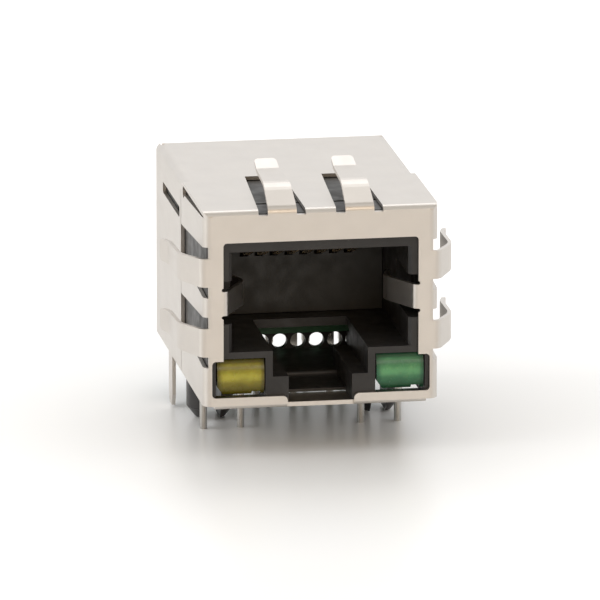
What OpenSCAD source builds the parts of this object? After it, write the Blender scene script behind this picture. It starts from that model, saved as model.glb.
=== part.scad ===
// Shielded eight-way board jack with two indicator lamps and built-in line transformers.
// X runs across the port, Y from the port face towards the back, Z up from the board.
// The origin is on the board face, midway between the two locating pegs.

/* [Shield] */
// Width of the folded shield across its side walls
shield_w = 15.9; // [15.7:0.1:16.6]
// Height of the shield's top above the board
shield_h = 13.65; // [13.4:0.05:14.3]
// Length of the shield from the port face to the back
shield_l = 21.3; // [21.1:0.1:24]
// Thickness of the shield's sheet
sheet_t = 0.25; // [0.2:0.01:0.3]
// Outside radius of the shield's main bends
bend_r = 0.6; // [0.45:0.05:0.8]
// Height of the side walls' lower edges above the board
skirt_lift = 0.3; // [0.15:0.05:0.5]
// Depth of the side flaps folded back from the port face
flap_l = 9.95; // [9.3:0.05:10.3]
// Gap at the butt seam between a flap and the rear side wall
seam_gap = 0.12; // [0.08:0.02:0.2]
// Height of the slit between the top and a flap, at its rear end
slit_h = 0.55; // [0.3:0.05:0.7]
// Length of the lock slot in each rear side wall
lock_slot_l = 7.6; // [4:0.1:8.5]
// Height of the lock slots
lock_slot_h = 0.75; // [0.5:0.05:1.2]
// Height of the lock slots' middle above the board
lock_slot_z = 11.2; // [9:0.1:11.6]

/* [Port face] */
// Width of the window around the plug cavity
window_w = 13.2; // [12.9:0.1:13.6]
// Height of the window's upper edge above the board
window_top = 11.5; // [11.2:0.05:11.8]
// Outside width of the window across both lamps
lamp_window_w = 14.74; // [14.5:0.02:14.8]
// Height of the lamp windows' upper edge above the board
lamp_window_top = 3.39; // [3.2:0.01:3.7]
// Radius of the windows' corners
window_r = 0.25; // [0.1:0.05:0.4]
// Height of the lip below the lamp windows
lip_h = 0.87; // [0.75:0.01:0.9]
// Width of the lip
lip_w = 14.3; // [13.8:0.1:14.5]
// Depth of the lip's return under the housing
lip_return = 3.1; // [2:0.1:4]
// Width of the gap in the lip for the plug's latch
latch_gap_w = 4.5; // [4.4:0.1:5]

/* [Spring fingers] */
// Width of a spring finger at its root
finger_w = 1.95; // [1.6:0.05:2.2]
// Width of a spring finger at its tip
finger_tip_w = 1.5; // [1.2:0.05:1.8]
// Angle at which a finger rises from the shield
finger_rise_angle = 28; // [20:1:34]
// Length of the rising part of a finger
finger_ramp = 1.55; // [1:0.05:2.2]
// Bend radius at the crown of a finger
finger_crown_r = 3; // [1.5:0.1:4]
// Bend radius where a finger's tip turns up
finger_tip_r = 0.9; // [0.5:0.1:1.5]
// Length of the level part of a finger
finger_level = 3; // [1.2:0.1:3.2]
// Angle at which a finger's tip is turned up
finger_tip_angle = 17; // [10:1:30]
// Length of the turned-up tip
finger_tip_l = 1.25; // [0.8:0.05:1.5]
// Width of the top fingers' slots at the port face
top_slot_w = 3.2; // [2.8:0.05:3.4]
// Taper of the top fingers' slots, all of it on one edge
top_slot_taper = 0.64; // [0:0.02:0.8]
// Width of the side fingers' slots at the port face
side_slot_w = 3.5; // [2.8:0.05:3.6]
// Taper of the side fingers' slots, shared by both edges
side_slot_taper = 1.4; // [0:0.1:1.6]
// Distance of the top fingers from the middle
top_finger_x = 2.62; // [2.3:0.01:3.2]
// Height of the lower side fingers above the board
low_finger_z = 4.7; // [4.4:0.05:4.9]
// Height of the upper side fingers above the board
high_finger_z = 9.5; // [9.2:0.05:9.7]
// Height of the plug's earthing springs in the window
earth_spring_z = 7.35; // [7:0.05:7.5]
// Width of the earthing springs
earth_spring_w = 1.65; // [1.2:0.05:1.8]
// Length of the earthing springs' inclined part
earth_spring_l = 2.75; // [2:0.05:2.8]
// Angle at which the earthing springs are turned in from the port face
earth_spring_angle = 62; // [60:1:70]
// Bend radius at the crown of an earthing spring
earth_spring_crown_r = 1.2; // [0.6:0.1:1.4]

/* [Plug cavity] */
// Width of the plug cavity
plug_w = 11.95; // [11.8:0.05:12.1]
// Height of the plug cavity's floor above the board
plug_floor = 3.93; // [3.85:0.01:4.05]
// Height of the plug cavity
plug_h = 6.87; // [6.7:0.01:6.95]
// Depth of the plug cavity from the port face
plug_depth = 10.6; // [10:0.1:11]
// Lead-in bevel round the cavity's mouth
mouth_bevel = 0.22; // [0.1:0.02:0.3]
// Width of the keyway under the cavity
keyway_w = 6.45; // [6.2:0.05:6.6]
// Height of the keyway's floor above the board
keyway_floor = 2.15; // [2:0.05:2.3]
// Width of the latch channel
latch_w = 4.3; // [4.1:0.05:4.4]
// Depth from the port face to the floor bar in the latch channel
floor_bar_y = 6.6; // [5.5:0.1:7.2]
// Thickness of the floor bar behind the latch channel
floor_bar_t = 0.54; // [0.4:0.02:0.7]
// Thickness of the floor plate that carries the pin comb
floor_plate_t = 0.36; // [0.3:0.02:0.5]
// Depth of the lamp blocks beside the keyway
lamp_block_l = 8; // [7.5:0.1:8.2]

/* [Housing fits] */
// Clearance between the shield and what it wraps
shell_fit = 0.05; // [0.03:0.01:0.08]
// Clearance of the carrier and the board in their seats
seat_fit = 0.05; // [0.03:0.01:0.1]
// Clearance of the lamps in their pockets
lamp_fit = 0.08; // [0.03:0.01:0.1]
// Clearance of a wire or pin in its hole
wire_fit = 0.05; // [0.03:0.01:0.08]

/* [Board pegs and pins] */
// Distance of the locating pegs behind the port face
peg_setback = 11.9; // [11.8:0.1:12.2]
// Distance between the locating pegs
peg_pitch = 11.43; // [11.3:0.01:11.6]
// Diameter of the locating pegs
peg_d = 3.2; // [3:0.05:3.25]
// Length of the locating pegs below the board face
peg_l = 3.3; // [2.8:0.1:3.35]
// Width of the slot that splits a peg
peg_slot_w = 1.1; // [0.8:0.05:1.2]
// Diameter of the round pins and leads
pin_d = 0.5; // [0.4:0.02:0.6]
// Side of the square wire that the pins and leads are formed from, above the board face
wire_w = 0.5; // [0.4:0.02:0.54]
// Length of the pins and leads below the board face
pin_l = 3.4; // [3.35:0.05:3.8]
// Pitch of the signal pins along the port
pin_pitch = 1.27; // [1.25:0.01:1.29]
// Distance of the signal pins' middle line in front of the transformer case's middle
pins_ahead = 0.17; // [0.1:0.01:0.3]
// Distance between the two rows of signal pins
pin_row_pitch = 2.54; // [2.4:0.01:2.6]
// Distance of the shield's board tabs behind the pegs
tab_setback = 3.05; // [2.9:0.01:3.3]
// Width of the shield's board tabs
tab_w = 1.6; // [1.2:0.1:1.8]
// Length of the board tabs below the board face
tab_l = 3.2; // [2.6:0.1:3.3]

/* [Contacts] */
// Pitch of the eight contacts
contact_pitch = 1.02; // [1.01:0.01:1.03]
// Width of a contact strip
contact_w = 0.46; // [0.4:0.01:0.5]
// Thickness of a contact strip
contact_t = 0.3; // [0.25:0.01:0.35]
// Distance of the contacts' front bend behind the port face
contact_front = 3.4; // [3.2:0.1:4]
// Angle at which the contacts dip into the cavity
contact_dip = 19; // [16:1:20]
// Length of a contact's free arm
contact_arm = 6.1; // [5.4:0.1:6.2]
// Thickness of the carrier's comb wall
comb_t = 1.9; // [1.5:0.1:2]

/* [Lamps] */
// Width of an indicator lamp
lamp_w = 3.2; // [2.9:0.05:3.25]
// Height of an indicator lamp
lamp_h = 2.4; // [2.3:0.02:2.46]
// Length of an indicator lamp's body
lamp_l = 5.6; // [4.5:0.1:6.2]
// Distance of the lamps from the middle
lamp_x = 5.4; // [5.38:0.01:5.42]
// Height of the lamps' underside above the board
lamp_z = 1; // [0.98:0.01:1.02]
// Setback of the lamps' sides behind the port face
lamp_setback = 0.55; // [0.3:0.05:0.8]
// Bulge of the lamps' front face
lamp_bulge = 0.35; // [0.2:0.05:0.5]
// Bevel at the lamps' lower corner
lamp_bevel = 0.6; // [0.3:0.05:0.7]
// Distance between the two leads of a lamp
lead_pitch = 2.54; // [2.2:0.02:2.54]
// Distance of the lamp leads in front of the pegs
lead_setback = 3.3; // [3.1:0.05:3.4]

/* [Line transformers] */
// Wall of the transformer case
case_wall = 0.6; // [0.5:0.05:0.8]
// Gap between the contacts' tails and the transformer case
case_gap = 0.45; // [0.2:0.05:0.8]
// Height of the inner circuit board's underside above the board face
board_z = 2; // [1.95:0.05:2.1]
// Thickness of the inner circuit board
board_t = 0.8; // [0.6:0.05:1]
// Outside diameter of the ring cores
core_d = 3; // [2.6:0.1:3.05]
// Bore of the ring cores
core_bore = 1.5; // [1.3:0.1:1.6]
// Thickness of the ring cores
core_t = 1.4; // [1.2:0.1:1.8]
// Thickness of a winding round its core
winding_t = 0.25; // [0.2:0.01:0.28]
// Width of a chip resistor
resistor_w = 2; // [1.6:0.1:2.4]
// Height of a chip resistor
resistor_h = 0.45; // [0.35:0.05:0.6]
// Pitch of the chip resistors
resistor_pitch = 3; // [2.8:0.1:3.6]
// Width of the high-voltage capacitor
capacitor_w = 3.2; // [2:0.1:4.5]
// Height of the high-voltage capacitor
capacitor_h = 1.5; // [0.8:0.1:2]
// Gap between the chips and their neighbours on the inner board
chip_gap = 0.12; // [0.05:0.01:0.15]

/* [Hidden] */
$fn = 40;

// A cut runs this far past the face that it opens
over = 1;

half_w = shield_w / 2;
inside_half = half_w - sheet_t;
inside_top = shield_h - sheet_t;
inner_bend_r = bend_r - sheet_t;

// The hood is the top with the rear side walls; its bends start just before the seam
hood_lap = 0.75;
hood_y = flap_l - hood_lap;
rear_wall_y = flap_l + seam_gap;
back_gap = 0.1;
back_half = inside_half - back_gap;
slit_end_r = 0.38;
slit_front_h = 0.12;
lock_slot_lap = 0.6;
latch_gap_ease = 0.35;
relief_r = 0.12;

// Housing block inside the shield
housing_half = inside_half - shell_fit;
housing_front = sheet_t + shell_fit;
housing_top = inside_top - shell_fit;
housing_bottom = sheet_t + shell_fit;
housing_back = plug_depth + comb_t;
edge_r = inner_bend_r - shell_fit;
cavity_top = plug_floor + plug_h;
floor_bar_top = housing_bottom + floor_bar_t;
floor_bar_r = 0.25;
floor_plate_top = housing_bottom + floor_plate_t;
latch_floor_t = 0.2;
chamber_w = 8.8;
chamber_top = plug_floor - 0.6;
spring_room = 0.65;

// Pads stand on the board round the pegs and between them
pad_l = 3.5;
pad_w = peg_d + 0.3;
middle_pad_l = 1.6;
peg_nose = 0.7;
peg_nose_inset = 0.55;
peg_web = 0.6;

// Contacts and their carrier
contact_top = cavity_top + 0.65;
contact_bend_r = 0.45;
contact_tail_y = housing_back + seat_fit + contact_t / 2;
carrier_half = 4.75;
carrier_bottom = contact_top + wire_fit;
comb_head = carrier_bottom - contact_t - 2 * wire_fit;
comb_head_bevel = 0.3;
comb_rib_w = contact_pitch - contact_w - 2 * wire_fit;
comb_slot_l = 0.9;
comb_slot_room = 0.33;
comb_step = 0.6;
cheek_t = 0.5;

// Lamps and their leads
lamp_pocket_w = lamp_w + 2 * lamp_fit;
lamp_pocket_h = lamp_h + 2 * lamp_fit;
lead_y = peg_setback - lead_setback;
lead_z = lamp_z + lamp_h / 2;
lead_bend_r = 0.5;
lead_room = 0.9;
lamp_back = lamp_setback + lamp_l;

// Inner board and transformer case
board_top = board_z + board_t;
case_front = contact_tail_y + contact_t / 2 + case_gap;
case_back = shield_l - sheet_t - shell_fit;
hollow_front = case_front + case_wall;
hollow_back = case_back - case_wall;

// Two rows of signal pins, with the comb in front of them
pin_mid_y = (case_front + case_back) / 2 - pins_ahead;
front_row = pin_mid_y - pin_row_pitch / 2;
rear_row = pin_mid_y + pin_row_pitch / 2;
pin_head = 0.6;
pin_nose = 0.3;
comb_bar_t = 0.6;
comb_bar_gap = 1.26;
comb_bar_y = front_row - wire_w / 2 - comb_bar_gap - comb_bar_t;
comb_bar_margin = 0.7;
comb_window_d = 1.06;

// Ring cores stand between the rows
core_lift = board_top + core_d / 2 + winding_t;
core_pitch = (2 * (housing_half - case_wall) - core_d - 4 * winding_t) / 3;
winding_gap = 0.03;
winding_turn = 130;

// ---------------------------------------------------------------- helpers

// Puts the port-face frame on the origin between the pegs
module on_board() {
    translate([0, -peg_setback, 0]) children();
}

// Extrudes a (y, z) outline along X
module along_x(x0, x1) {
    translate([x0, 0, 0]) rotate([90, 0, 90]) linear_extrude(x1 - x0) children();
}

// Extrudes an (x, z) outline along Y
module along_y(y0, y1) {
    translate([0, y1, 0]) rotate([90, 0, 0]) linear_extrude(y1 - y0) children();
}

// Extrudes an (x, y) outline along Z
module along_z(z0, z1) {
    translate([0, 0, z0]) linear_extrude(z1 - z0) children();
}

// Repeats a child on both sides of the middle plane
module both_sides() {
    children();
    mirror([1, 0, 0]) children();
}

module rectangle(x0, x1, y0, y1) {
    translate([x0, y0]) square([x1 - x0, y1 - y0]);
}

module rounded_rectangle(x0, x1, y0, y1, r) {
    rectangle(x0 + r, x1 - r, y0, y1);
    rectangle(x0, x1, y0 + r, y1 - r);
    for (x = [x0 + r, x1 - r])
        for (y = [y0 + r, y1 - r])
            translate([x, y]) circle(r);
}

// Closed band of sheet, seen end on, with its corners bent
module sheet_band(x0, x1, y0, y1) {
    difference() {
        rounded_rectangle(x0, x1, y0, y1, bend_r);
        rounded_rectangle(x0 + sheet_t, x1 - sheet_t, y0 + sheet_t, y1 - sheet_t, inner_bend_r);
    }
}

// A strip of sheet is traced as on a press tool: each step is [straight length, turn, bend radius],
// and a station is [x, y, heading].
function go(p, l) = [p[0] + l * cos(p[2]), p[1] + l * sin(p[2]), p[2]];
function swing(p, turn, r) =
    let (s = sign(turn), a = p[2] + turn)
    [p[0] - s * r * (sin(p[2]) - sin(a)), p[1] + s * r * (cos(p[2]) - cos(a)), a];
function trace(steps, p, i = 0) =
    i == len(steps) ? [p] :
    let (q = go(p, steps[i][0]), turn = steps[i][1], n = ceil(abs(turn) / 6))
    concat(
        steps[i][0] > 0 ? [p] : [],
        [for (k = [0 : 1 : n - 1]) swing(q, turn * k / n, steps[i][2])],
        trace(steps, turn == 0 ? q : swing(q, turn, steps[i][2]), i + 1)
    );
function beside(p, d) = [p[0] - d * sin(p[2]), p[1] + d * cos(p[2])];

module strip(path, t) {
    last = len(path) - 1;
    polygon(concat(
        [for (p = path) beside(p, t / 2)],
        [for (i = [last : -1 : 0]) beside(path[i], -t / 2)]
    ));
}

// ---------------------------------------------------------------- shield

// Side view of a spring finger: y runs back from the port face, z up from the sheet's outside
finger_root = 0.35;
finger_sink = 0.25;
finger_corner_r = 0.4;
finger_path = trace(
    [
        [finger_root, finger_rise_angle - 90, bend_r - sheet_t / 2],
        [finger_ramp, 1 - finger_rise_angle, finger_crown_r],
        [finger_level, finger_tip_angle - 1, finger_tip_r],
        [finger_tip_l, 0, 0]
    ],
    [sheet_t / 2, -finger_root - finger_sink, 90]
);
finger_reach = finger_path[len(finger_path) - 1][0];

module finger_plan() {
    r = finger_corner_r;
    tip = finger_tip_w / 2;
    polygon([
        [-finger_w / 2, -over], [finger_w / 2, -over], [finger_w / 2, 0],
        [tip, finger_reach - r], [-tip, finger_reach - r], [-finger_w / 2, 0]
    ]);
    rectangle(r - tip, tip - r, finger_reach - 2 * r, finger_reach + sheet_t);
    for (x = [r - tip, tip - r])
        translate([x, finger_reach - r]) circle(r + 0.001);
}

module finger() {
    intersection() {
        along_x(-finger_w / 2, finger_w / 2) strip(finger_path, sheet_t);
        along_z(-over, 3 * over) finger_plan();
    }
}

// Slot that a finger is sheared from; each edge has its own taper
module finger_slot(w, taper_low, taper_high) {
    along_z(-finger_root, over)
        polygon([
            [-w / 2, -over], [w / 2, -over], [w / 2, 0],
            [w / 2 - taper_high, rear_wall_y], [taper_low - w / 2, rear_wall_y], [-w / 2, 0]
        ]);
}

module at_top_fingers() {
    for (x = [-top_finger_x, top_finger_x])
        translate([x, 0, shield_h]) children();
}

module at_side_fingers() {
    for (z = [low_finger_z, high_finger_z])
        both_sides() translate([half_w, 0, z]) rotate([0, 90, 0]) children();
}

// Port face and top as far as the hood, one bend between them
module port_face() {
    intersection() {
        along_x(-half_w, half_w) intersection() {
            sheet_band(0, shield_l, -shield_h, shield_h);
            rectangle(0, hood_y, skirt_lift, shield_h);
        }
        along_z(0, shield_h) rounded_rectangle(-half_w, half_w, 0, shield_l, bend_r);
    }
}

// Flaps folded back from the port face's sides
module side_flaps() {
    along_z(skirt_lift, inside_top) intersection() {
        sheet_band(-half_w, half_w, 0, 2 * shield_l);
        rectangle(-half_w, half_w, 0, flap_l);
    }
}

// Rear top with both rear side walls
module hood() {
    difference() {
        along_y(hood_y, shield_l) intersection() {
            sheet_band(-half_w, half_w, -shield_h, shield_h);
            rectangle(-half_w, half_w, skirt_lift, shield_h);
        }
        // Side walls start behind the seam
        along_y(0, rear_wall_y) both_sides()
            rectangle(inside_half - over, half_w + over, -over, inside_top - slit_h + 0.1);
        // Corner reliefs beside the back's bend
        along_x(-inside_half, inside_half)
            rectangle(shield_l - bend_r, shield_l + over, inside_top - inner_bend_r, shield_h + over);
    }
}

module back_wall() {
    along_x(-back_half, back_half) intersection() {
        sheet_band(0, shield_l, -shield_h, shield_h);
        rectangle(shield_l - bend_r - 0.05, shield_l, skirt_lift, shield_h);
    }
}

// Lip under the lamps, with its return under the housing
module board_lip() {
    along_x(-lip_w / 2, lip_w / 2) intersection() {
        sheet_band(0, 2 * shield_l, 0, 2 * shield_h);
        rectangle(0, lip_return, 0, lip_h);
    }
}

module board_tab() {
    y = peg_setback + tab_setback;
    tip = tab_w * 0.3;
    along_x(inside_half, half_w)
        polygon([
            [y - tab_w / 2, skirt_lift + sheet_t], [y - tab_w / 2, -tab_l + tab_w / 2],
            [y - tip, -tab_l], [y + tip, -tab_l],
            [y + tab_w / 2, -tab_l + tab_w / 2], [y + tab_w / 2, skirt_lift + sheet_t]
        ]);
}

module windows() {
    along_y(-over, sheet_t + over / 10) {
        rounded_rectangle(-window_w / 2, window_w / 2, lamp_window_top - 1, window_top, window_r);
        rounded_rectangle(-lamp_window_w / 2, lamp_window_w / 2, lip_h, lamp_window_top, window_r);
        // Relief notches above and below each earthing spring
        both_sides()
            for (s = [-1, 1])
                translate([window_w / 2, earth_spring_z + s * (earth_spring_w / 2 + relief_r)])
                    circle(relief_r);
    }
    // Latch gap through the lip's face and bend, with its upper corners eased
    along_y(-over, bend_r * 0.6) {
        ease = latch_gap_ease;
        rectangle(-latch_gap_w / 2, latch_gap_w / 2, -over, lip_h + 0.1);
        both_sides() difference() {
            rectangle(0, latch_gap_w / 2 + ease, lip_h - ease, lip_h + 0.1);
            translate([latch_gap_w / 2 + ease, lip_h - ease]) circle(ease);
        }
    }
}

// Earthing spring turned in from the window's side edge and bowed towards the plug
module earth_spring() {
    root = 0.2;
    tail = 0.9;
    path = trace(
        [[0.15, -earth_spring_angle, inner_bend_r], [earth_spring_l, -50, earth_spring_crown_r], [tail, 0, 0]],
        [window_w / 2 + root, sheet_t / 2, 180]
    );
    along_z(earth_spring_z - earth_spring_w / 2, earth_spring_z + earth_spring_w / 2)
        strip(path, sheet_t);
}

module corner_slits() {
    both_sides()
        along_x(half_w - bend_r, half_w + over) {
            polygon([
                [0, inside_top], [hood_y - slit_end_r, inside_top],
                [hood_y - slit_end_r, inside_top - slit_h], [0, inside_top - slit_front_h]
            ]);
            translate([hood_y - slit_end_r, inside_top - slit_end_r]) circle(slit_end_r);
        }
}

module lock_slots() {
    y0 = rear_wall_y + lock_slot_lap;
    along_x(-half_w - over, half_w + over)
        rounded_rectangle(
            y0, y0 + lock_slot_l,
            lock_slot_z - lock_slot_h / 2, lock_slot_z + lock_slot_h / 2, lock_slot_h / 3
        );
}

module shield() {
    color([0.80, 0.78, 0.74]) on_board() {
        difference() {
            union() {
                difference() {
                    port_face();
                    along_x(-lip_w / 2, lip_w / 2) rectangle(-over, sheet_t + over, -over, bend_r);
                }
                difference() {
                    side_flaps();
                    corner_slits();
                }
                hood();
                back_wall();
                board_lip();
            }
            windows();
            lock_slots();
            at_top_fingers() finger_slot(top_slot_w, top_slot_taper, 0);
            at_side_fingers() finger_slot(side_slot_w, side_slot_taper / 2, side_slot_taper / 2);
        }
        at_top_fingers() finger();
        at_side_fingers() finger();
        both_sides() earth_spring();
        both_sides() board_tab();
    }
}

// ---------------------------------------------------------------- housing

module housing_block() {
    intersection() {
        along_z(housing_bottom, housing_top)
            rounded_rectangle(-housing_half, housing_half, housing_front, 2 * shield_l, edge_r);
        along_y(housing_front, housing_back)
            rounded_rectangle(-housing_half, housing_half, housing_bottom - over, housing_top, edge_r);
        along_x(-housing_half, housing_half)
            rounded_rectangle(housing_front, 2 * shield_l, housing_bottom, housing_top, edge_r);
    }
}

module plug_space() {
    // Plug cavity, open to the back, where the carrier's comb wall closes it
    along_y(0, housing_back + over)
        rectangle(-plug_w / 2, plug_w / 2, plug_floor, cavity_top);
    // Lead-in bevel at the mouth
    both_sides() along_z(plug_floor, cavity_top)
        polygon([
            [plug_w / 2 - over, 0], [plug_w / 2 + mouth_bevel, 0],
            [plug_w / 2 + mouth_bevel, housing_front], [plug_w / 2, housing_front + mouth_bevel],
            [plug_w / 2 - over, housing_front + mouth_bevel]
        ]);
    // Keyway and latch channel below it
    along_y(0, lamp_block_l + over)
        rectangle(-keyway_w / 2, keyway_w / 2, keyway_floor, plug_floor + over / 10);
    along_y(0, lamp_block_l + over)
        rectangle(-latch_w / 2, latch_w / 2, floor_bar_top, keyway_floor + over / 10);
    along_y(0, lip_return + shell_fit)
        rectangle(-latch_w / 2, latch_w / 2, -over, keyway_floor);
    along_y(0, floor_bar_y)
        rectangle(-latch_w / 2, latch_w / 2, housing_bottom + latch_floor_t, keyway_floor);
    // Rounded front edge of the floor bar, over which the latch slides
    along_x(-latch_w / 2, latch_w / 2) difference() {
        rectangle(
            floor_bar_y - over, floor_bar_y + floor_bar_r,
            floor_bar_top - floor_bar_r, floor_bar_top + over / 10
        );
        translate([floor_bar_y + floor_bar_r, floor_bar_top - floor_bar_r]) circle(floor_bar_r);
    }
    // Chamber behind the lamp blocks, open to the back
    along_y(lamp_block_l, housing_back + over)
        rectangle(-chamber_w / 2, chamber_w / 2, floor_plate_top, chamber_top);
}

module lamp_pocket() {
    x0 = lamp_x - lamp_pocket_w / 2;
    // The pocket is open below, so that the lamp goes in with its leads bent
    along_y(0, lead_y + lead_room)
        rectangle(x0, x0 + lamp_pocket_w, -over, lamp_z - lamp_fit + lamp_pocket_h);
}

// Room in the cavity's side wall for an earthing spring pressed back by the plug
module spring_channel() {
    reach = earth_spring_w / 2 + spring_room;
    along_y(0, earth_spring_l + 2 * earth_spring_crown_r)
        rectangle(
            plug_w / 2 - over, window_w / 2 + inner_bend_r,
            earth_spring_z - reach, earth_spring_z + reach
        );
}

// Opening in the roof for the carrier's arm and the contacts below it
module carrier_seat() {
    half = carrier_half + seat_fit;
    along_y(contact_front - contact_t, housing_back + over)
        rectangle(-half, half, cavity_top - over / 10, housing_top + over);
}

module peg() {
    translate([peg_pitch / 2, peg_setback, -peg_l]) difference() {
        union() {
            translate([0, 0, peg_nose]) cylinder(h = peg_l - peg_nose + housing_bottom, d = peg_d);
            cylinder(h = peg_nose, d1 = peg_d - 2 * peg_nose_inset, d2 = peg_d);
        }
        translate([-peg_slot_w / 2, -peg_d, -over]) cube([peg_slot_w, 2 * peg_d, peg_l - peg_web + over]);
    }
}

module peg_pad() {
    x0 = peg_pitch / 2 - pad_w / 2;
    along_z(0, housing_bottom + over / 10)
        rectangle(x0, x0 + pad_w, peg_setback - pad_l / 2, peg_setback + pad_l / 2);
    // Cheek that carries the pad behind the block
    along_z(housing_bottom, board_z - wire_fit)
        rectangle(x0, x0 + pad_w, housing_back - over, peg_setback + pad_l / 2);
}

// Pad on the board midway between the pegs
module middle_pad() {
    along_z(0, housing_bottom + over / 10)
        rectangle(-pad_w / 2, pad_w / 2, peg_setback - middle_pad_l / 2, peg_setback + middle_pad_l / 2);
}

// Floor plate with the upright comb that lines up the signal pins
module pin_comb() {
    half = chamber_w / 2 + comb_bar_margin;
    along_z(housing_bottom, floor_plate_top)
        rectangle(-half, half, housing_back - over, comb_bar_y + over / 10);
    difference() {
        along_z(housing_bottom, board_z - wire_fit)
            rectangle(-half, half, comb_bar_y, comb_bar_y + comb_bar_t);
        along_y(comb_bar_y - over, comb_bar_y + comb_bar_t + over)
            for (i = [0 : 7])
                translate([(i - 3.5) * pin_pitch, floor_plate_top + comb_window_d / 2]) circle(d = comb_window_d);
    }
}

module housing() {
    color([0.13, 0.13, 0.14]) on_board() {
        difference() {
            housing_block();
            plug_space();
            carrier_seat();
            both_sides() lamp_pocket();
            both_sides() spring_channel();
        }
        pin_comb();
        middle_pad();
        both_sides() peg_pad();
        both_sides() peg();
    }
}

// ---------------------------------------------------------------- contacts

function contact_x(i) = (i - 4.5) * contact_pitch;

// Side view of a contact from the inner board up, over the cavity and back down into it
contact_mid = contact_top - contact_t / 2;
contact_path = trace(
    [
        [contact_mid - contact_bend_r - board_top, 90, contact_bend_r],
        [contact_tail_y - 2 * contact_bend_r - contact_front - contact_t / 2, 180 - contact_dip, contact_bend_r],
        [contact_arm, 0, 0]
    ],
    [contact_tail_y, board_top, 90]
);
contact_tip_z = contact_path[len(contact_path) - 1][1] - contact_t / 2;

module contact(i) {
    color([0.86, 0.68, 0.30]) on_board()
        along_x(contact_x(i) - contact_w / 2, contact_x(i) + contact_w / 2)
            strip(contact_path, contact_t);
}

module contact_carrier() {
    wall_half = plug_w / 2 - seat_fit;
    rib_front = contact_front + over;
    color([0.16, 0.16, 0.17]) on_board() {
        // Arm over the contacts, flush with the housing's roof
        along_y(contact_front, housing_back)
            rectangle(-carrier_half, carrier_half, carrier_bottom, housing_top);
        // Ribs between the contacts
        for (i = [0 : 8])
            along_y(rib_front, plug_depth)
                translate([contact_x(i + 0.5), cavity_top + seat_fit])
                    rectangle(-comb_rib_w / 2, comb_rib_w / 2, 0, carrier_bottom - cavity_top);
        // Comb wall that stops the plug, slotted for the contacts' tips
        difference() {
            union() {
                along_y(plug_depth, housing_back)
                    rectangle(-wall_half, wall_half, plug_floor + seat_fit, cavity_top - seat_fit);
                // Its rear corner is bevelled clear of the contacts' bends
                along_x(-carrier_half, carrier_half)
                    polygon([
                        [plug_depth + comb_step, cavity_top - over], [housing_back, cavity_top - over],
                        [housing_back, comb_head - comb_head_bevel], [housing_back - comb_head_bevel, comb_head],
                        [plug_depth + comb_step, comb_head]
                    ]);
            }
            for (i = [1 : 8])
                translate([contact_x(i), 0, 0]) along_y(plug_depth - over, plug_depth + comb_slot_l)
                    rectangle(
                        -contact_w / 2 - wire_fit, contact_w / 2 + wire_fit,
                        contact_tip_z - comb_slot_room, carrier_bottom + over
                    );
        }
        // Cheeks that tie the comb wall to the arm
        both_sides() along_y(rib_front, housing_back)
            rectangle(carrier_half - cheek_t, carrier_half, cavity_top + seat_fit, carrier_bottom + over / 10);
        both_sides() along_y(plug_depth + comb_step, housing_back)
            rectangle(carrier_half - cheek_t, carrier_half, cavity_top - over, carrier_bottom + over / 10);
    }
}

// ---------------------------------------------------------------- lamps

module lamp_body(shade) {
    bulge_r = (lamp_h * lamp_h / 4 + lamp_bulge * lamp_bulge) / (2 * lamp_bulge);
    front = lamp_setback;
    color(shade) on_board()
        difference() {
            intersection() {
                along_x(-lamp_w / 2, lamp_w / 2) union() {
                    rectangle(front, lamp_back, lamp_z, lamp_z + lamp_h);
                    intersection() {
                        translate([front - lamp_bulge + bulge_r, lamp_z + lamp_h / 2]) circle(bulge_r, $fn = 96);
                        rectangle(front - lamp_bulge, front + 0.1, lamp_z, lamp_z + lamp_h);
                    }
                }
                along_y(front - lamp_bulge, lamp_back)
                    polygon([
                        [-lamp_w / 2, lamp_z + lamp_bevel], [lamp_bevel * 0.7 - lamp_w / 2, lamp_z],
                        [lamp_w / 2, lamp_z], [lamp_w / 2, lamp_z + lamp_h], [-lamp_w / 2, lamp_z + lamp_h]
                    ]);
            }
            // Mould notch at the lower edge
            along_y(-over, lamp_setback + 0.8) rectangle(lamp_w * 0.24, lamp_w * 0.42, lamp_z - over, lamp_z + 0.18);
        }
}

// Square lead from a lamp's back, bent down and formed round where it passes through the board
module lamp_lead(side, s) {
    path = trace(
        [[lead_y - lamp_back - lead_bend_r, -90, lead_bend_r], [lead_z - lead_bend_r, 0, 0]],
        [lamp_back, lead_z, 0]
    );
    color([0.82, 0.82, 0.84]) on_board()
        translate([side * lamp_x + s * lead_pitch / 2, 0, 0]) {
            along_x(-wire_w / 2, wire_w / 2) strip(path, wire_w);
            translate([0, lead_y, -pin_l]) cylinder(h = pin_l, d = pin_d);
        }
}

// ---------------------------------------------------------------- pins, board and transformers

// Odd pins stand in the front row, even pins in the rear row
function pin_x(i) = (i - 4.5) * pin_pitch;
function pin_y(i) = i % 2 == 0 ? rear_row : front_row;

// Square wire through the inner board, formed round where it passes through the main board
module signal_pin(i) {
    color([0.82, 0.82, 0.84]) on_board()
        translate([pin_x(i), pin_y(i), -pin_l]) {
            cylinder(h = pin_nose, d1 = pin_d / 2, d2 = pin_d);
            translate([0, 0, pin_nose]) cylinder(h = pin_l - pin_nose, d = pin_d);
            translate([-wire_w / 2, -wire_w / 2, pin_l]) cube([wire_w, wire_w, board_top + pin_head]);
        }
}

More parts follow.
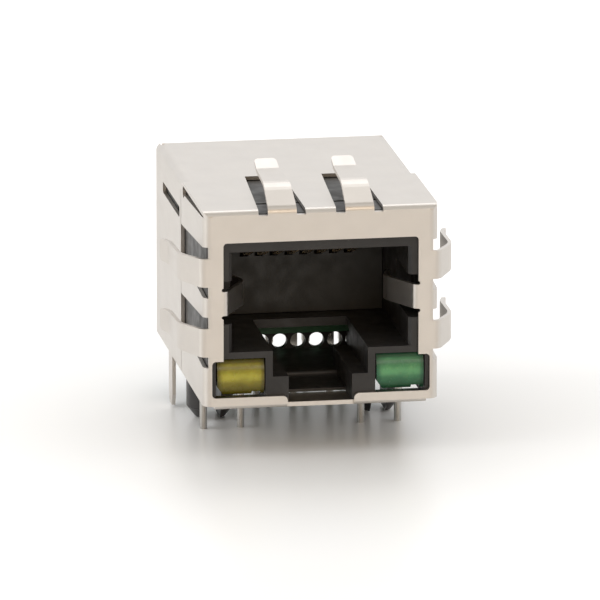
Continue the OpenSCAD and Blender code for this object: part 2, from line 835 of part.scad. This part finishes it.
module circuit_board() {
    half = housing_half - case_wall - 2 * seat_fit;
    color([0.10, 0.30, 0.16]) on_board()
        difference() {
            union() {
                along_z(board_z, board_top)
                    rectangle(-half, half, hollow_front + seat_fit, hollow_back - 2 * seat_fit);
                along_z(board_z, board_top)
                    rectangle(-carrier_half, carrier_half, housing_back + seat_fit, case_front + over);
            }
            for (i = [1 : 8])
                translate([pin_x(i), pin_y(i), board_z - over])
                    cylinder(h = board_t + 2 * over, d = wire_w * sqrt(2) + 2 * wire_fit);
        }
}

module transformer_case() {
    half = housing_half;
    color([0.11, 0.11, 0.12]) on_board()
        difference() {
            intersection() {
                along_y(case_front, case_back)
                    rounded_rectangle(-half, half, housing_bottom - over, housing_top, edge_r);
                along_x(-half, half)
                    rounded_rectangle(case_front - over, case_back, 0, housing_top, edge_r);
                along_z(board_z, housing_top)
                    rectangle(-half, half, case_front, case_back);
            }
            // Hollow for the cores, open below where the board closes it
            along_z(board_z - over, housing_top - case_wall)
                rectangle(case_wall - half, half - case_wall, hollow_front, hollow_back);
            // Slot in the front wall for the board's tongue
            translate([-carrier_half - seat_fit, case_front - over, board_z - over])
                cube([2 * (carrier_half + seat_fit), case_wall + 2 * over, board_t + over + seat_fit]);
        }
}

function core_x(i) = (i - 1.5) * core_pitch;

module core(i) {
    color([0.22, 0.21, 0.21]) on_board()
        translate([core_x(i), pin_mid_y + core_t / 2, core_lift]) rotate([90, 0, 0])
            difference() {
                cylinder(h = core_t, d = core_d);
                translate([0, 0, -over]) cylinder(h = core_t + 2 * over, d = core_bore);
            }
}

// Enamelled wire wound through the core, as a sleeve of close turns with a gap at each end
module winding(i, shade) {
    r_out = core_d / 2 + winding_t;
    r_in = core_bore / 2 - winding_t;
    span = core_t + 2 * winding_t;
    color(shade) on_board()
        translate([core_x(i), pin_mid_y, core_lift]) rotate([90, 0, 0])
            for (a = [0, 180]) rotate([0, 0, a])
                difference() {
                    rotate([0, 0, (180 - winding_turn) / 2]) rotate_extrude(angle = winding_turn)
                        rectangle(r_in, r_out, -span / 2, span / 2);
                    translate([0, 0, -core_t / 2 - winding_gap])
                        difference() {
                            cylinder(h = core_t + 2 * winding_gap, d = core_d + 2 * winding_gap);
                            translate([0, 0, -over])
                                cylinder(h = core_t + 2 * over + 2 * winding_gap, d = core_bore - 2 * winding_gap);
                        }
                }
}

// Chip resistors between the case's front wall and the front row of pins
module termination_resistors() {
    color([0.15, 0.15, 0.17]) on_board()
        for (i = [0 : 3])
            translate([(i - 1.5) * resistor_pitch, 0, 0])
                along_z(board_top, board_top + resistor_h)
                    rectangle(
                        -resistor_w / 2, resistor_w / 2,
                        hollow_front + chip_gap, front_row - wire_w / 2 - chip_gap
                    );
}

// High-voltage capacitor between the rear row of pins and the case's back wall
module termination_capacitor() {
    color([0.70, 0.62, 0.48]) on_board()
        along_z(board_top, board_top + capacitor_h)
            rectangle(
                -capacitor_w / 2, capacitor_w / 2,
                rear_row + wire_w / 2 + chip_gap, hollow_back - chip_gap
            );
}

shield();
housing();
contact_carrier();
contact(1);  // contact_1
contact(2);  // contact_2
contact(3);  // contact_3
contact(4);  // contact_4
contact(5);  // contact_5
contact(6);  // contact_6
contact(7);  // contact_7
contact(8);  // contact_8
translate([-lamp_x, 0, 0]) lamp_body([0.62, 0.60, 0.12]);  // lamp_yellow
translate([lamp_x, 0, 0]) lamp_body([0.10, 0.45, 0.26]);  // lamp_green
lamp_lead(-1, -1);  // lamp_lead_1
lamp_lead(-1, 1);  // lamp_lead_2
lamp_lead(1, -1);  // lamp_lead_3
lamp_lead(1, 1);  // lamp_lead_4
circuit_board();
transformer_case();
signal_pin(1);  // signal_pin_1
signal_pin(2);  // signal_pin_2
signal_pin(3);  // signal_pin_3
signal_pin(4);  // signal_pin_4
signal_pin(5);  // signal_pin_5
signal_pin(6);  // signal_pin_6
signal_pin(7);  // signal_pin_7
signal_pin(8);  // signal_pin_8
core(0);  // core_transmit
core(3);  // core_receive
core(1);  // core_choke_1
core(2);  // core_choke_2
winding(0, [0.72, 0.30, 0.14]);  // winding_transmit
winding(3, [0.72, 0.30, 0.14]);  // winding_receive
winding(1, [0.20, 0.42, 0.24]);  // winding_choke_1
winding(2, [0.20, 0.42, 0.24]);  // winding_choke_2
termination_resistors();
termination_capacitor();
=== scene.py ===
import math

import bpy
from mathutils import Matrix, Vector


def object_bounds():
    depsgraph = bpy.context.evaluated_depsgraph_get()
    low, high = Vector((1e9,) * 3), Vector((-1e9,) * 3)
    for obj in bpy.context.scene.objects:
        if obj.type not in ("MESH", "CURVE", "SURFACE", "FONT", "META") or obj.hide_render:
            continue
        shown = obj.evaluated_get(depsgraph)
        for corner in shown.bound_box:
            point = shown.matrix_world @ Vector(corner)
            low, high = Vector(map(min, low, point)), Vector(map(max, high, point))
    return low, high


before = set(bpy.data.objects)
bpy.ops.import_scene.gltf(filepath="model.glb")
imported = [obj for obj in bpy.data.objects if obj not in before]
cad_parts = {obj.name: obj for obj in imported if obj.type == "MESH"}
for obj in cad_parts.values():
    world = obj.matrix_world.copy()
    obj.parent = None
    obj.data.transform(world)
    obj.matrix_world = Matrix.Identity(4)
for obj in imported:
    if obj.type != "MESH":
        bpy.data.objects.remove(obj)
cad_low, cad_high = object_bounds()

# ---------------------------------------------------------------- housing
# The housing is one black glass-filled moulding that holds the plug, the lamps and the contact
# carrier. Its skin has the fine matt texture of the mould.

MM = 0.001


class Graph:
    """Adds nodes to one tree. Each method returns the new node's output."""

    def __init__(self, tree):
        self.tree = tree

    def feed(self, into, value):
        if isinstance(value, bpy.types.NodeSocket):
            self.tree.links.new(value, into)
        else:
            into.default_value = value

    def node(self, kind, inputs, out=0, **settings):
        made = self.tree.nodes.new(kind)
        for key, value in settings.items():
            setattr(made, key, value)
        for key, value in inputs.items():
            self.feed(made.inputs[key], value)
        return made.outputs[out]

    def place(self, kind="Object"):
        return self.node("ShaderNodeTexCoord", {}, kind)

    def noise(self, scale, detail=3.0, stretch=(1, 1, 1)):
        spread = self.node("ShaderNodeMapping", {"Vector": self.place(), "Scale": stretch})
        return self.node("ShaderNodeTexNoise", {"Vector": spread, "Scale": scale, "Detail": detail}, "Fac")

    def ramp(self, fac, stops):
        made = self.tree.nodes.new("ShaderNodeValToRGB")
        line = made.color_ramp
        for i, (where, colour) in enumerate(stops):
            stop = line.elements[i] if i < 2 else line.elements.new(where)
            stop.position = where
            stop.color = (*colour, 1)
        self.feed(made.inputs["Fac"], fac)
        return made.outputs["Color"]

    def spread(self, value, low, high, start=0.35, end=0.65, **settings):
        ends = {"From Min": start, "From Max": end, "To Min": low, "To Max": high}
        return self.node("ShaderNodeMapRange", {"Value": value, **ends}, **settings)

    def curve(self, value, points):
        made = self.tree.nodes.new("ShaderNodeFloatCurve")
        line = made.mapping.curves[0]
        line.points[0].location = points[0]
        line.points[-1].location = points[-1]
        for x, y in points[1:-1]:
            line.points.new(x, y)
        made.mapping.update()
        self.feed(made.inputs["Value"], value)
        return made.outputs[0]

    def math(self, operation, first, second):
        return self.node("ShaderNodeMath", {0: first, 1: second}, operation=operation)

    def bump(self, height, strength, distance):
        inputs = {"Height": height, "Strength": strength, "Distance": distance}
        return self.node("ShaderNodeBump", inputs)


class Effect(Graph):
    """A node group that several materials share."""

    def __init__(self, name):
        super().__init__(bpy.data.node_groups.new(name, "ShaderNodeTree"))

    def socket(self, name, side, kind="NodeSocketFloat"):
        self.tree.interface.new_socket(name, in_out=side, socket_type=kind)

    def give(self, **values):
        out = self.tree.nodes.new("NodeGroupOutput")
        for name, value in values.items():
            self.socket(name, "OUTPUT", "NodeSocketVector" if name == "Normal" else "NodeSocketFloat")
            self.feed(out.inputs[name], value)


class Finish(Graph):
    """A material with one Principled surface, whose sockets are set by name."""

    def __init__(self, name):
        self.material = bpy.data.materials.new(name)
        self.material.use_nodes = True
        super().__init__(self.material.node_tree)
        self.surface = self.tree.nodes["Principled BSDF"]

    def set(self, **values):
        for key, value in values.items():
            self.feed(self.surface.inputs[key.replace("_", " ")], value)

    def use(self, effect, **inputs):
        made = self.tree.nodes.new("ShaderNodeGroup")
        made.node_tree = effect.tree
        for key, value in inputs.items():
            self.feed(made.inputs[key], value)
        return made.outputs

    def dress(self, *nodes):
        for name in nodes:
            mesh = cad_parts[name].data
            mesh.materials.clear()
            mesh.materials.append(self.material)


def moulded_grain():
    effect = Effect("moulded_grain")
    effect.socket("Grain", "INPUT")
    grain = effect.node("NodeGroupInput", {}, "Grain")
    effect.give(
        Tone=effect.noise(420, 4),
        Sheen=effect.noise(900, 2),
        Normal=effect.bump(effect.noise(grain, 2), 0.25, 0.02 * MM),
    )
    return effect


grain_effect = moulded_grain()


def moulded(name, dark, light, rough, grain=9000):
    skin = Finish(name)
    marks = skin.use(grain_effect, Grain=grain)
    skin.set(
        Base_Color=skin.ramp(marks["Tone"], [(0.3, dark), (0.7, light)]),
        Roughness=skin.spread(marks["Sheen"], rough - 0.08, rough + 0.08),
        Normal=marks["Normal"],
    )
    return skin


moulded("housing_black", (0.016, 0.015, 0.015), (0.026, 0.024, 0.023), 0.42).dress("housing")

# ---------------------------------------------------------------- contacts
# Eight phosphor-bronze strips, gold plated where the plug touches them, are pressed into a black
# carrier that slides into the housing from the back and fixes their pitch.

moulded("carrier_black", (0.020, 0.019, 0.016), (0.032, 0.030, 0.026), 0.5).dress("contact_carrier")

gold = Finish("contact_gold")
gold.set(
    Base_Color=gold.ramp(
        gold.noise(300, 3, stretch=(1, 0.1, 0.1)),
        [(0.3, (0.78, 0.52, 0.20)), (0.7, (0.86, 0.62, 0.28))],
    ),
    Roughness=gold.spread(gold.noise(2500, 2, stretch=(1, 0.08, 0.08)), 0.2, 0.34),
    Metallic=1.0,
)
gold.dress(*[f"contact_{i}" for i in range(1, 9)])

# ---------------------------------------------------------------- inner board and transformers
# The glass-laminate board joins contacts, ring cores and pins inside the moulded case. Little of
# it shows when the jack is whole, but each piece keeps its real finish.


def mottled(name, dark, light, tone, smooth, dull, sheen, start=0.3):
    """A finish with a mottled tone and an uneven sheen; tone and sheen are noise settings."""
    skin = Finish(name)
    skin.set(
        Base_Color=skin.ramp(skin.noise(*tone), [(start, dark), (0.7, light)]),
        Roughness=skin.spread(skin.noise(*sheen), smooth, dull),
    )
    return skin


laminate = mottled("board_laminate", (0.03, 0.14, 0.06), (0.05, 0.19, 0.09), (700, 4), 0.3, 0.45, (1500, 2))
laminate.dress("circuit_board")

moulded("case_black", (0.014, 0.014, 0.014), (0.024, 0.023, 0.022), 0.5, 8000).dress("transformer_case")

ferrite = mottled(
    "core_ferrite", (0.03, 0.03, 0.03), (0.08, 0.078, 0.075), (1800, 5), 0.5, 0.7, (2600, 2), start=0.35
)
ferrite.dress("core_transmit", "core_receive", "core_choke_1", "core_choke_2")


def close_turns():
    """Enamelled wire laid turn beside turn, seen as fine ridges across the core."""
    effect = Effect("close_turns")
    wave = {"Vector": effect.place(), "Scale": 2600, "Distortion": 1.5}
    turns = effect.node("ShaderNodeTexWave", wave, "Fac", wave_type="BANDS", bands_direction="Y")
    effect.give(Turns=turns, Sheen=effect.noise(1200), Normal=effect.bump(turns, 0.5, 0.03 * MM))
    return effect


turns_effect = close_turns()


def wire(name, dark, light):
    enamel = Finish(name)
    marks = enamel.use(turns_effect)
    enamel.set(
        Base_Color=enamel.ramp(marks["Turns"], [(0.2, dark), (0.8, light)]),
        Roughness=enamel.spread(marks["Sheen"], 0.22, 0.38),
        Normal=marks["Normal"],
    )
    return enamel


wire("wire_copper", (0.25, 0.07, 0.02), (0.60, 0.22, 0.09)).dress("winding_transmit", "winding_receive")
wire("wire_green", (0.02, 0.09, 0.03), (0.08, 0.28, 0.12)).dress("winding_choke_1", "winding_choke_2")

chip = mottled("chip_black", (0.02, 0.02, 0.024), (0.04, 0.04, 0.045), (1500, 3), 0.25, 0.4, (900,))
chip.dress("termination_resistors")

fired = mottled("capacitor_tan", (0.36, 0.27, 0.15), (0.50, 0.40, 0.25), (1100, 4), 0.4, 0.6, (1400,))
fired.dress("termination_capacitor")

# ---------------------------------------------------------------- pins and lamp leads
# Drawn copper wire with bright tin plate, coloured darker than bright tin as painted shade for the
# tails in the shade under the housing. It dulls in patches and carries fine lengthwise draw marks,
# which show best on the tails under the housing.

tin = Finish("tinned_wire")
tin.set(
    # Darker than bright tin as painted shade under the housing; the patches are real uneven dulling
    Base_Color=tin.ramp(
        tin.noise(500, 4, stretch=(1, 1, 0.2)),
        [(0.3, (0.42, 0.41, 0.39)), (0.7, (0.58, 0.57, 0.55))],
    ),
    Roughness=tin.spread(tin.noise(2500, 3, stretch=(1, 1, 0.08)), 0.2, 0.42),
    Metallic=1.0,
)
tin.dress(*[f"signal_pin_{i}" for i in range(1, 9)], *[f"lamp_lead_{i}" for i in range(1, 5)])

# ---------------------------------------------------------------- lamps
# Two indicator lamps of tinted epoxy, cast over their lead frames and pushed into the pockets
# from the front. Unlit, they are dark and cloudy, with a polished barrel-shaped face.


def epoxy_glow():
    """Painted light in a cast lamp's colour: a painted highlight band in the middle and a thin one above
    it, painted shade at the ends, times a real cloudy mottle.
    """
    effect = Effect("epoxy_glow")
    place = effect.place("Generated")
    across = effect.node("ShaderNodeSeparateXYZ", {0: place}, "X")
    upward = effect.node("ShaderNodeSeparateXYZ", {0: place}, "Z")
    # Painted highlight up the face: a soft middle band and a thin line above it
    height = effect.curve(upward, [
        (0, 0.15), (0.15, 0.3), (0.35, 0.62), (0.52, 1.0), (0.68, 0.74),
        (0.78, 0.5), (0.84, 0.62), (0.91, 0.3), (1, 0.1),
    ])
    # Painted shade towards both ends of the face
    painted_end_shade = effect.curve(across, [
        (0, 0.15), (0.06, 0.55), (0.16, 0.95), (0.3, 1.0), (0.5, 0.9), (0.7, 0.95),
        (0.86, 0.9), (0.94, 0.5), (1, 0.1),
    ])
    # Real cloudiness in the epoxy, not light
    cloud = effect.node("ShaderNodeTexNoise", {"Vector": place, "Scale": 5, "Detail": 3}, "Fac")
    mist = effect.curve(cloud, [(0, 0.7), (0.35, 0.8), (0.65, 1.0), (1, 1.0)])
    effect.give(Glow=effect.math("MULTIPLY", effect.math("MULTIPLY", height, painted_end_shade), mist))
    return effect


painted_light_effect = epoxy_glow()


def epoxy(name, deep, middle, clear):
    cast = Finish(name)
    # This mask is painted light: the ramp runs from painted shade (deep) through middle to painted
    # highlight (clear)
    painted_light_mask = cast.use(painted_light_effect)["Glow"]
    cast.set(
        Base_Color=cast.ramp(painted_light_mask, [(0.05, deep), (0.95, clear), (0.4, middle)]),
        Roughness=cast.spread(cast.noise(1600, 2), 0.2, 0.3),
        Subsurface_Weight=0.2,
        Subsurface_Scale=0.4 * MM,
        Coat_Weight=0.15,
        Coat_Roughness=0.15,
        Specular_IOR_Level=0.35,
    )
    return cast


yellow = epoxy("lamp_yellow_epoxy", (0.055, 0.048, 0.004), (0.19, 0.162, 0.012), (0.44, 0.40, 0.045))
yellow.dress("lamp_yellow")
green = epoxy("lamp_green_epoxy", (0.014, 0.065, 0.034), (0.04, 0.16, 0.075), (0.125, 0.36, 0.155))
green.dress("lamp_green")

# ---------------------------------------------------------------- shield
# One sheet of copper alloy, stamped, folded and plated with satin nickel. The plate has a very
# fine grain and faint handling marks that dull it in places.

nickel = Finish("shield_nickel")
nickel.set(
    Base_Color=nickel.ramp(
        nickel.noise(500, 3), [(0.3, (0.655, 0.617, 0.575)), (0.7, (0.685, 0.645, 0.60))]
    ),
    Roughness=nickel.spread(nickel.noise(1400, 3, stretch=(1, 0.3, 1)), 0.33, 0.37),
    Normal=nickel.bump(nickel.noise(9000, 3), 0.06, 0.006 * MM),
    Metallic=1.0,
)
nickel.dress("shield")

# ---------------------------------------------------------------- table
# A white, slightly glossy sheet lies under the pins, in a white room. Both show as white to the
# camera, away from the jack's own shadow.

table_middle = (0, 0.2, cad_low[2])
bpy.ops.mesh.primitive_plane_add(size=1.6, location=table_middle)
table = bpy.context.object
table.name = "table"
sheet = Finish("table_white")
# Away from the jack the camera sees the sheet as plain white, as if lit a little more there
from_jack = sheet.node("ShaderNodeVectorMath", {0: sheet.place(), 1: (0, 0.2, 0)}, operation="ADD")
away = sheet.node("ShaderNodeVectorMath", {0: from_jack}, "Value", operation="LENGTH")
camera_ray = sheet.node("ShaderNodeLightPath", {}, "Is Camera Ray")
sheet.set(
    Base_Color=sheet.ramp(sheet.noise(40, 2), [(0.2, (0.935, 0.935, 0.93)), (0.8, (0.95, 0.95, 0.945))]),
    Roughness=sheet.spread(sheet.noise(60, 2), 0.29, 0.32, 0.2, 0.8),
    Emission_Color=sheet.math("MULTIPLY", sheet.spread(away, 0.0, 0.2, 0.010, 0.038), camera_ray),
    Emission_Strength=1.0,
)
table.data.materials.append(sheet.material)

# The room is white all round, but for a duller ceiling and a dim, warm part in front, behind the
# camera's place. Camera, mirror and clear rays see its white pure, and the light it sheds is cool.
world = bpy.data.worlds.new("studio")
bpy.context.scene.world = world
world.use_nodes = True
world.node_tree.nodes.clear()
room = Graph(world.node_tree)


def blend(fac, first, second):
    """Mixes two room colours; each is an (r, g, b) or a socket."""
    first, second = [(*c, 1) if isinstance(c, tuple) else c for c in (first, second)]
    made = room.tree.nodes.new("ShaderNodeMix")
    made.data_type = "RGBA"
    rgba = [socket for socket in made.inputs if socket.type == "RGBA"]
    for into, value in zip([made.inputs["Factor"], *rgba], (fac, first, second)):
        room.feed(into, value)
    return [socket for socket in made.outputs if socket.type == "RGBA"][0]


def zone(axis, start, end):
    """Rises smoothly from 0 to 1 as the direction's share of an axis goes from start to end."""
    share = room.node("ShaderNodeSeparateXYZ", {0: room.place("Generated")}, axis)
    return room.spread(share, 0.0, 1.0, start, end, interpolation_type="SMOOTHSTEP")


pure = room.node("ShaderNodeLightPath", {}, "Is Camera Ray")
for kind in ("Is Glossy Ray", "Is Transmission Ray"):
    pure = room.math("MAXIMUM", pure, room.node("ShaderNodeLightPath", {}, kind))
walls = blend(pure, (0.97, 0.985, 1.0), (1.0, 1.0, 1.0))
with_ceiling = blend(zone("Z", 0.80, 0.96), walls, (0.66, 0.63, 0.58))
in_front = room.math("MULTIPLY", zone("Y", -0.25, -0.75), zone("Z", 0.80, 0.60))
shown = blend(in_front, with_ceiling, (0.62, 0.48, 0.33))
light_out = room.tree.nodes.new("ShaderNodeOutputWorld").inputs["Surface"]
room.feed(light_out, room.node("ShaderNodeBackground", {"Color": shown}))

# ---------------------------------------------------------------- lights
# A large soft box on the left, a weaker warm strip in front and an overhead box behind the jack.
# All three face the jack.


def lamp(name, place, size, power, colour):
    data = bpy.data.lights.new(name, "AREA")
    data.shape = "RECTANGLE"
    data.size, data.size_y = size
    data.energy = power
    data.color = colour
    made = bpy.data.objects.new(name, data)
    made.location = place
    made.rotation_euler = (-Vector(place)).to_track_quat("-Z", "Y").to_euler()
    bpy.context.collection.objects.link(made)


lamp("key", (-0.55, -0.05, 0.32), (0.40, 0.40), 0.9, (1.0, 0.99, 0.97))
lamp("front", (0.05, -0.60, 0.22), (0.30, 0.12), 0.30, (1.0, 0.92, 0.82))
lamp("overhead", (0.05, 0.35, 0.50), (0.50, 0.30), 0.48, (0.97, 0.98, 1.0))

# ---------------------------------------------------------------- camera
# A long lens, a little above the port and to its left.

azimuth, elevation, distance = math.radians(-9.226), math.radians(13.92), 0.700
back = Vector((
    math.sin(azimuth) * math.cos(elevation),
    -math.cos(azimuth) * math.cos(elevation),
    math.sin(elevation),
))
right = Vector((math.cos(azimuth), math.sin(azimuth), 0))
up = back.cross(right)
port_middle = Vector((0, -11.9, 6.78)) * MM
aim = port_middle - right * 1.416 * MM + up * 0.586 * MM
lens = bpy.data.cameras.new("camera")
lens.lens = 628.9
lens.clip_start = 0.01
lens.clip_end = 10
camera = bpy.data.objects.new("camera", lens)
camera.location = aim + back * distance
camera.rotation_euler = (-back).to_track_quat("-Z", "Y").to_euler()
bpy.context.collection.objects.link(camera)
bpy.context.scene.camera = camera
bpy.context.scene.view_settings.view_transform = "Standard"
